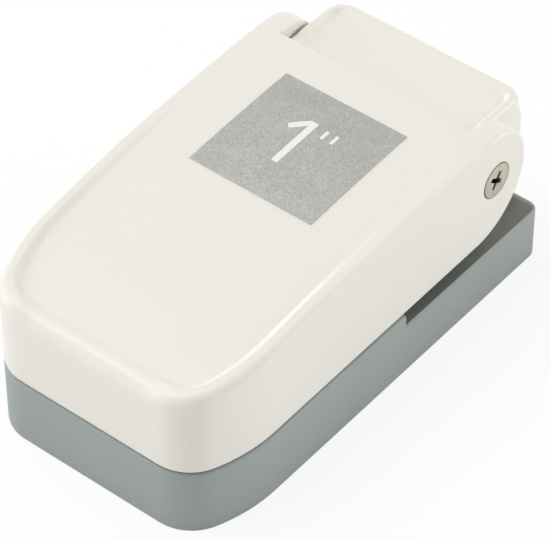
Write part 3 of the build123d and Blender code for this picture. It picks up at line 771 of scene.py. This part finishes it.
def arc_height(y, drop):
    """Height of the crown's arc at y, a circle through three points, its front lowered by drop."""
    if y >= hump_rear:
        return crown_z
    spans = []
    for point in (arc_lead, (arc_lead + hump_rear) / 2, hump_rear):
        share = (hump_rear - point) / (hump_rear - arc_front)
        spans.append((point, crown_z - (crown_fall + drop) * share**2))
    (ay, az), (by, bz), (cy, cz) = spans
    d = 2 * (ay * (bz - cz) + by * (cz - az) + cy * (az - bz))
    a, b, c = ay**2 + az**2, by**2 + bz**2, cy**2 + cz**2
    middle_y = (a * (bz - cz) + b * (cz - az) + c * (az - bz)) / d
    middle_z = (a * (cy - by) + b * (ay - cy) + c * (by - ay)) / d
    return middle_z + sqrt((ay - middle_y) ** 2 + (az - middle_z) ** 2 - (y - middle_y) ** 2)


def quarter(depth, radius):
    """How far a rounded edge has fallen at this depth from its side."""
    if depth >= radius:
        return 0
    return radius - sqrt(max(radius**2 - (radius - depth) ** 2, 0))


def crown_height(y, drop):
    """Height of the crown at y, whose nose falls further than the label's arc."""
    ahead = max(nose_fall_start - y, 0) / (nose_fall_start - nose)
    return arc_height(y, drop) - nose_fall * ahead**2


def dish_fall(x, y):
    """How far the thumb dish is sunk below the crown. Its rim is lower across the nose."""
    if y >= hump_rear:
        return 0
    rim = nose_rim + (1 - nose_rim) * smooth((abs(x) - nose_rim_half) / nose_rim_reach)
    inside = smooth(dish_depth(x, y) / dish_slope + 0.5)
    return (arc_height(y, 0) - arc_height(y, dish_drop)) * (1 - rim * (1 - inside))


def slot_fall(x, y):
    """How far the edge around the rear slot has fallen."""
    return quarter(hypot(max(abs(x) - slot_half, 0), max(hump_rear - y, 0)), slot_round)


def edge_height(y):
    """Height of the cover's lower edge, which rises a little to the rear."""
    return floor_z + edge_lift + edge_tilt * (y - nose)


def cheek_height(y):
    """Height of the lower edge with its curl up behind the pivot."""
    behind = max(y - (tail - cheek_round), 0)
    return edge_height(y) + cheek_round - sqrt(max(cheek_round**2 - behind**2, 0))


# stations round the right half of the plan: finger, side, two corner arcs, front
round_steps = 8
land_steps = 26
slot_steps = 5
finger_steps = 20
finger_straight = 0.2
finger_soften = 0.8
stations = []
for step in range(finger_steps, 0, -1):
    share = step / finger_steps
    straight = hump_rear + (tail - finger_round - hump_rear) * min(share / finger_straight, 1)
    bend = pi / 2 * max((share - finger_straight) / (1 - finger_straight), 0)
    behind = hump_rear - (tail - cheek_round)
    start_turn = atan2(behind, sqrt(cheek_round**2 - behind**2))
    under = start_turn + (pi / 2 - start_turn) * share
    low_y = tail - cheek_round + cheek_round * sin(under)
    stations.append(
        {
            "top": (straight + finger_round * sin(bend), crown_z - finger_round * (1 - cos(bend))),
            "top_normal": (sin(bend), cos(bend)),
            "low": (low_y, edge_height(low_y) + cheek_round * (1 - cos(under))),
            "low_normal": (sin(under), -cos(under)),
            "round": edge_rounding(hump_rear) * (1 + finger_soften * sin(pi * share)),
        }
    )
hump_station = len(stations)
side_rows = [
    hump_rear - slot_round * (1 - cos(pi / 2 * step / slot_steps)) for step in range(slot_steps + 1)
]
side_count = 80
slot_end = side_rows[-1]
for step in range(1, side_count + 1):
    side_rows.append(slot_end + (long_y - slot_end) * step / side_count)
for y in side_rows:
    stations.append({"point": (lever_half, y), "normal": (1, 0)})
long_count, tight_count, front_count = 24, 32, 28
for middle, radius, from_turn, to_turn, count in (
    ((long_x, long_y), long_arc, 0, corner_turn, long_count),
    ((tight_x, tight_y), tight_arc, corner_turn, -pi / 2, tight_count),
):
    for step in range(1, count + 1):
        turn = from_turn + (to_turn - from_turn) * step / count
        point = (middle[0] + radius * cos(turn), middle[1] + radius * sin(turn))
        stations.append({"point": point, "normal": (cos(turn), sin(turn))})
corner_station = len(stations) - 1
for step in range(1, front_count + 1):
    stations.append({"point": (tight_x * (1 - step / front_count), nose), "normal": (0, -1)})
last_station = len(stations) - 1
spread_more = 0.45
spread_from, spread_reach = -5 * mm, 25 * mm
for at in stations:
    at["spread"] = 1
    if "point" in at:
        way = plan_place(*at["point"], lever_half, nose, tight_arc)[1]
        at["round"] = edge_rounding(way)
        at["spread"] = 1 + spread_more * smooth((spread_from - way) / spread_reach)

ring_count = round_steps + land_steps + slot_steps + 1
finger_ring = ring_count - 1


def ring_depth(ring, at):
    """Depth of a ring of points from the cover's side at a station."""
    radius = at["round"]
    reach = finger * at["spread"]
    slot_ring = finger_ring - slot_steps
    if ring <= round_steps:
        return radius * (1 - cos(pi / 2 * ring / round_steps))
    if ring >= slot_ring:
        return reach - slot_round * (1 - cos(pi / 2 * (finger_ring - ring) / slot_steps))
    land = reach - slot_round - radius
    return radius + land * (ring - round_steps) / (slot_ring - round_steps)


cover = bmesh.new()
wall_rows = 6
top = {}
low = {}
wall = {}


def station_points(station, ring):
    """Top and bottom point of the right half at a station and ring."""
    at = stations[station]
    depth = ring_depth(ring, at)
    if "top" in at:
        fall = quarter(depth, at["round"]) + quarter(finger - depth, slot_round)
        rise = quarter(depth, base_round)
        x = lever_half - depth
        up = [at["top"][axis] - at["top_normal"][axis] * fall for axis in range(2)]
        down = [at["low"][axis] - at["low_normal"][axis] * rise for axis in range(2)]
        return (x, *up), (x, *down)
    x = at["point"][0] - at["normal"][0] * depth
    y = at["point"][1] - at["normal"][1] * depth
    z = crown_height(y, 0) - dish_fall(x, y) - quarter(depth, at["round"]) - slot_fall(x, y)
    return (x, y, z), (x, y, cheek_height(y) + quarter(depth, base_round))


for side in (1, -1):
    for station in range(len(stations)):
        for ring in range(ring_count):
            if side < 0 and station == last_station:
                top[side, station, ring] = top[1, station, ring]
                low[side, station, ring] = low[1, station, ring]
                continue
            up, down = station_points(station, ring)
            top[side, station, ring] = cover.verts.new((side * up[0], up[1], up[2]))
            low[side, station, ring] = cover.verts.new((side * down[0], down[1], down[2]))


def wall_points(key, upper, lower):
    """Points of a wall's column, from its lower to its upper end, made once."""
    if key not in wall:
        rows = range(1, wall_rows)
        between = [cover.verts.new(lower.co.lerp(upper.co, row / wall_rows)) for row in rows]
        wall[key] = [lower, *between, upper]
    return wall[key]


def wall_between(one, two):
    """Faces of a wall between two of its columns."""
    for row in range(wall_rows):
        cover.faces.new((one[row], two[row], two[row + 1], one[row + 1]))


def column(side, station, ring):
    """Wall points at a station and ring, which both sides share in the middle of the nose."""
    owner = 1 if station == last_station else side
    return wall_points((owner, station, ring), top[side, station, ring], low[side, station, ring])


square = ((0, 0), (0, 1), (1, 1), (1, 0))
for side in (1, -1):
    for station in range(last_station):
        for ring in range(finger_ring):
            for sheet in (top, low):
                cover.faces.new([sheet[side, station + i, ring + j] for i, j in square])
        wall_between(column(side, station, 0), column(side, station + 1, 0))
    for station in range(hump_station):
        wall_between(column(side, station, finger_ring), column(side, station + 1, finger_ring))
    for ring in range(finger_ring):
        wall_between(column(side, 0, ring), column(side, 0, ring + 1))

# the crown and the floor inside the rings, in rows across the cover
columns = 2 * front_count
rows = range(hump_station, corner_station + 1)
inner = {}
for sheet_name, sheet in (("top", top), ("low", low)):
    for station in rows:
        right = sheet[1, station, finger_ring]
        left = sheet[-1, station, finger_ring]
        for place in range(columns + 1):
            if place == 0:
                point = right
            elif place == columns:
                point = left
            elif station == corner_station:
                side = 1 if place <= front_count else -1
                step = place if place <= front_count else columns - place
                point = sheet[side, corner_station + step, finger_ring]
            else:
                x = right.co.x * (1 - 2 * place / columns)
                y = right.co.y
                if sheet_name == "top":
                    z = crown_height(y, 0) - dish_fall(x, y) - slot_fall(x, y)
                else:
                    z = cheek_height(y)
                point = cover.verts.new((x, y, z))
            inner[sheet_name, station, place] = point
    for station in rows[:-1]:
        for place in range(columns):
            cover.faces.new([inner[sheet_name, station + i, place + j] for i, j in square])
hump_walls = []
for place in range(columns + 1):
    if place == 0:
        hump_walls.append(column(1, hump_station, finger_ring))
    elif place == columns:
        hump_walls.append(column(-1, hump_station, finger_ring))
    else:
        upper, lower = inner["top", hump_station, place], inner["low", hump_station, place]
        hump_walls.append(wall_points(("hump", place), upper, lower))
for one, two in zip(hump_walls, hump_walls[1:]):
    wall_between(one, two)
bmesh.ops.recalc_face_normals(cover, faces=cover.faces[:])
lever_cover = new_piece("lever_shell", cover, white_plastic)

# the hollow of the underside, as half widths and places from the rear slot to the nose
wall_thickness = 2.05 * mm
skin = 2.2 * mm
cheek_front = tail - 13.1 * mm
slack = 0.02 * mm
hollow_halves = [
    (slot_half - slack, hump_rear + mm),
    (slot_half - slack, cheek_front),
    (lever_half - wall_thickness, cheek_front - slack),
]
for at in stations[hump_station : corner_station + 1]:
    x = at["point"][0] - at["normal"][0] * wall_thickness
    y = at["point"][1] - at["normal"][1] * wall_thickness
    if y < cheek_front:
        hollow_halves.append((x, y))
hollow = []
for x, y in hollow_halves:
    roof = crown_height(min(y, hump_rear - slack), dish_drop) - skin
    hollow.append([(-x, y, floor_z - mm), (x, y, floor_z - mm), (x, y, roof), (-x, y, roof)])
cut(lever_cover, new_piece("hollow", loft(hollow), white_plastic), "DIFFERENCE")


def disc(along, middle, radius, place, sides=64):
    """Loop of points round an axis of x (0) or z (2), at a place along it."""
    loop = []
    for step in range(sides):
        turn = 2 * pi * step / sides
        if along == 0:
            loop.append((place, middle[0] + radius * cos(turn), middle[1] + radius * sin(turn)))
        else:
            loop.append((middle[0] + radius * cos(turn), middle[1] + radius * sin(turn), place))
    return loop


frame_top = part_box("lever_frame")[1].z
boss_radius = 3.1 * mm
boss_sunk = 0.6 * mm
for boss_y in (-10.3 * mm, 14.0 * mm):
    levels = (frame_top + slack, crown_height(boss_y, dish_drop) - skin + boss_sunk)
    boss = loft([disc(2, (0, boss_y), boss_radius, level) for level in levels])
    cut(lever_cover, new_piece("boss", boss, white_plastic), "UNION")
pivot = Vector(frame["joints"][0]["pos_m"])
axle = (pivot.y, pivot.z)
washer_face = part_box("pivot_washers")[1].x
hub_radius = 4.2 * mm
hub_ends = (slot_half + 0.5 * mm, washer_face + slack)
sink_radius = 3.55 * mm
bore_radius = 1.75 * mm
bore_profile = [
    (lever_half + mm, sink_radius + mm),
    (lever_half - (sink_radius - bore_radius), bore_radius),
    (washer_face - 0.3 * mm, bore_radius),
]
for side in (-1, 1):
    hub = loft([disc(0, axle, hub_radius, side * x) for x in hub_ends])
    cut(lever_cover, new_piece("boss", hub, white_plastic), "UNION")
    bore = loft([disc(0, axle, radius, side * x) for x, radius in bore_profile])
    cut(lever_cover, new_piece("hole", bore, white_plastic), "DIFFERENCE")
shade(lever_cover, 38)
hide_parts("lever_cover")
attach(lever_cover, "lever")


# ---------------------------------------------------------------------------
# Label: a square of silver foil stuck in the dish, at the size that the punch
# cuts, with that size printed on it in white as one inch.
# ---------------------------------------------------------------------------
def sparkling_foil(start, place):
    cells = {"Vector": place, "Scale": 1 / (0.22 * mm)}
    flakes = start.make("ShaderNodeTexVoronoi", {}, cells, "Color")
    flake = start.make("ShaderNodeSeparateColor", {}, {"Color": flakes}, 0)
    sheen = noise(start, place, 7 * mm, 2)
    level = flake * 0.55 + sheen * 0.45
    return {
        "Base Color": level.tint((0.46, 0.465, 0.445, 1), (0.65, 0.655, 0.63, 1)),
        "Metallic": 0.75,
        "Roughness": 0.42 + flake * 0.18,
        "Normal": rounded_normal(start, flake, 0.012 * mm, 0.35, 0.03 * mm),
    }


silver_foil = finish("silver_foil", sparkling_foil)
dress("label_plate", silver_foil)


def printed_white(start, place):
    film = noise(start, place, 0.3 * mm, 3)
    return {
        "Base Color": film.tint((0.80, 0.80, 0.79, 1), (0.90, 0.90, 0.89, 1)),
        "Roughness": 0.45 + film * 0.15,
    }


white_print = finish("white_print", printed_white)
label_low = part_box("label_plate")[0]
film_thickness = 0.02 * mm
label_rise = 0.15 * mm
figure_round = 0.2 * mm

# the strokes of the figure, and the lines across it where it bends with the label, in mm from
# the label's corner
figure_outlines = [
    [
        (11.0, 7.6),
        (12.25, 7.6),
        (12.25, 18.75),
        (10.6, 18.75),
        (7.85, 16.0),
        (8.65, 15.15),
        (11.0, 17.45),
    ],
    [(14.2, 16.25), (14.85, 16.25), (14.85, 18.4), (14.2, 18.4)],
    [(16.25, 16.25), (16.9, 16.25), (16.9, 18.4), (16.25, 18.4)],
]
bend_lines = [7 + 0.5 * step for step in range(24)]
figure = bmesh.new()
for outline in figure_outlines:
    points = [(label_low.x + x * mm, label_low.y + y * mm, 0) for x, y in outline]
    figure.faces.new([figure.verts.new(point) for point in points])
bmesh.ops.bevel(
    figure, geom=figure.verts[:], offset=figure_round, segments=4, profile=0.5, affect="VERTICES"
)
for line in bend_lines:
    bmesh.ops.bisect_plane(
        figure,
        geom=figure.verts[:] + figure.edges[:] + figure.faces[:],
        plane_co=(0, label_low.y + line * mm, 0),
        plane_no=(0, 1, 0),
    )
raised = bmesh.ops.extrude_face_region(figure, geom=figure.faces[:])
for vert in raised["geom"]:
    if isinstance(vert, bmesh.types.BMVert):
        vert.co.z += film_thickness
for vert in figure.verts:
    vert.co.z += arc_height(vert.co.y, dish_drop) + label_rise - film_thickness / 2
bmesh.ops.recalc_face_normals(figure, faces=figure.faces[:])
size_figure = new_piece("size_figure", figure, white_print)
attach(size_figure, "lever")

# ---------------------------------------------------------------------------
# Lever frame: a folded steel channel that is screwed to the cover's bosses and
# takes the force to the ram through a nylon roller on a steel pin.
# ---------------------------------------------------------------------------
dress("lever_frame", steel)
dress("roller_pin", steel)
dress("frame_screws", nickel)


def turned_nylon(start, place):
    turning = noise(start, place, 0.2 * mm, 2, (1, 6, 6))
    return {
        "Base Color": turning.tint((0.66, 0.64, 0.58, 1), (0.76, 0.745, 0.70, 1)),
        "Roughness": 0.38 + turning * 0.15,
        "Normal": rounded_normal(start, turning, 0.01 * mm, 0.3, 0.15 * mm),
    }


nylon = finish("roller_nylon", turned_nylon)
dress("press_roller", nylon)

# ---------------------------------------------------------------------------
# Pivot: a steel sleeve through the ears and two flat-head screws with a cross
# recess, flush with the fingers, and a thrust washer on each side.
# ---------------------------------------------------------------------------
dress("pivot_sleeve", steel)
dress("pivot_washers", nylon)
screw_face = 24.65 * mm
head_radius = 3.4 * mm
head_land = 0.16 * mm
shank_radius = 1.65 * mm
shank_bevel = 0.3 * mm


# nickel with a real tarnish, and painted shade: near black in the cross recess and a dark ring at
# the head's edge
def nickel_tarnish_and_painted_shade(start, place):
    tarnish = noise(start, place, 1.6 * mm, 4)
    turning = noise(start, place, 0.09 * mm, 2)
    axes = [start.make("ShaderNodeSeparateXYZ", {}, {"Vector": place}, axis) for axis in range(3)]
    across = axes[0].maths("ABSOLUTE", axes[0])
    middle = [axes[1] - axle[0], axes[2] - axle[1]]
    away = start.maths("SQRT", middle[0] * middle[0] + middle[1] * middle[1])
    # painted shade: the deep part of the cross recess is painted near black
    sunk = 1 - across.between(screw_face - 0.4 * mm, screw_face - 0.06 * mm)
    painted_recess_shade = sunk * (1 - away.between(2.2 * mm, 2.4 * mm))
    tone = tarnish.between(0.35, 0.75).tint((0.60, 0.575, 0.475, 1), (0.50, 0.465, 0.365, 1))
    # painted shade: a dark ring at the head's edge, where the gap to the countersink lies in shade
    painted_rim_shade = away.between(head_radius - 0.24 * mm, head_radius - 0.08 * mm)
    tone = (painted_rim_shade * 0.85).tint(tone, (0.10, 0.085, 0.06, 1))
    return {
        "Base Color": (painted_recess_shade * 0.97).tint(tone, (0.03, 0.02, 0.01, 1)),
        "Metallic": 1.0,
        "Roughness": 0.30 + turning * 0.12 + tarnish * 0.08,
        "Normal": rounded_normal(start, turning, 0.01 * mm, 0.35, 0.06 * mm),
    }


screw_nickel = finish("screw_nickel", nickel_tarnish_and_painted_shade)

# the cross recess: depth, half width and reach of its arms at each level, in mm
recess_turn = radians(57)
recess_levels = ((-0.2, 0.5, 1.92), (0, 0.47, 1.82), (0.9, 0.36, 1.35), (1.8, 0.26, 0.65))
arm_taper = 0.8
shank_end = min(abs(vert.co.x) for vert in frame["nodes"]["pivot_screws"].data.vertices)
screw_profile = [
    (screw_face, head_radius - 0.12 * mm),
    (screw_face - 0.03 * mm, head_radius - 0.04 * mm),
    (screw_face - 0.1 * mm, head_radius),
    (screw_face - head_land, head_radius),
    (screw_face - head_land - (head_radius - shank_radius), shank_radius),
    (shank_end + shank_bevel, shank_radius),
    (shank_end, shank_radius - shank_bevel),
]
both_screws = None
for side in (-1, 1):
    turned = loft([disc(0, axle, radius, side * x) for x, radius in screw_profile])
    screw = new_piece("screw", turned, screw_nickel)
    recess = []
    for depth, half_width, reach in recess_levels:
        tip_half = half_width * arm_taper
        corners = []
        for quarter_turn in range(4):
            turn = recess_turn + pi / 2 * quarter_turn
            for out, aside in ((half_width, -half_width), (reach, -tip_half), (reach, tip_half)):
                corners.append(
                    (
                        side * (screw_face - depth * mm),
                        axle[0] + (out * cos(turn) - aside * sin(turn)) * mm,
                        axle[1] + (out * sin(turn) + aside * cos(turn)) * mm,
                    )
                )
        recess.append(corners)
    cut(screw, new_piece("recess", loft(recess), screw_nickel), "DIFFERENCE")
    if both_screws:
        cut(both_screws, screw, "UNION")
    both_screws = both_screws or screw
both_screws.name = "axle_screws"
shade(both_screws, 30)
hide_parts("pivot_screws")
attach(both_screws, "lever")


# ---------------------------------------------------------------------------
# Ram: a phosphated iron head with a pad under the roller and a wing over the
# springs on each side, and the square steel punch that is screwed to it.
# ---------------------------------------------------------------------------
def phosphated_iron(start, place):
    crystals = noise(start, place, 0.25 * mm, 4)
    stain = noise(start, place, 5 * mm, 3)
    tone = (crystals * 0.5 + stain * 0.5).tint((0.10, 0.10, 0.105, 1), (0.20, 0.20, 0.20, 1))
    return {
        "Base Color": tone,
        "Metallic": 0.6,
        "Roughness": 0.5 + crystals * 0.2,
        "Normal": rounded_normal(start, crystals, 0.03 * mm, 0.4, 0.15 * mm),
    }


ram_iron = finish("ram_iron", phosphated_iron)
dress("ram_head", ram_iron)
dress("punch_block", steel)
dress("ram_screws", nickel)

# ---------------------------------------------------------------------------
# Last, the view layer is brought up to date.
# ---------------------------------------------------------------------------
bpy.context.view_layer.update()
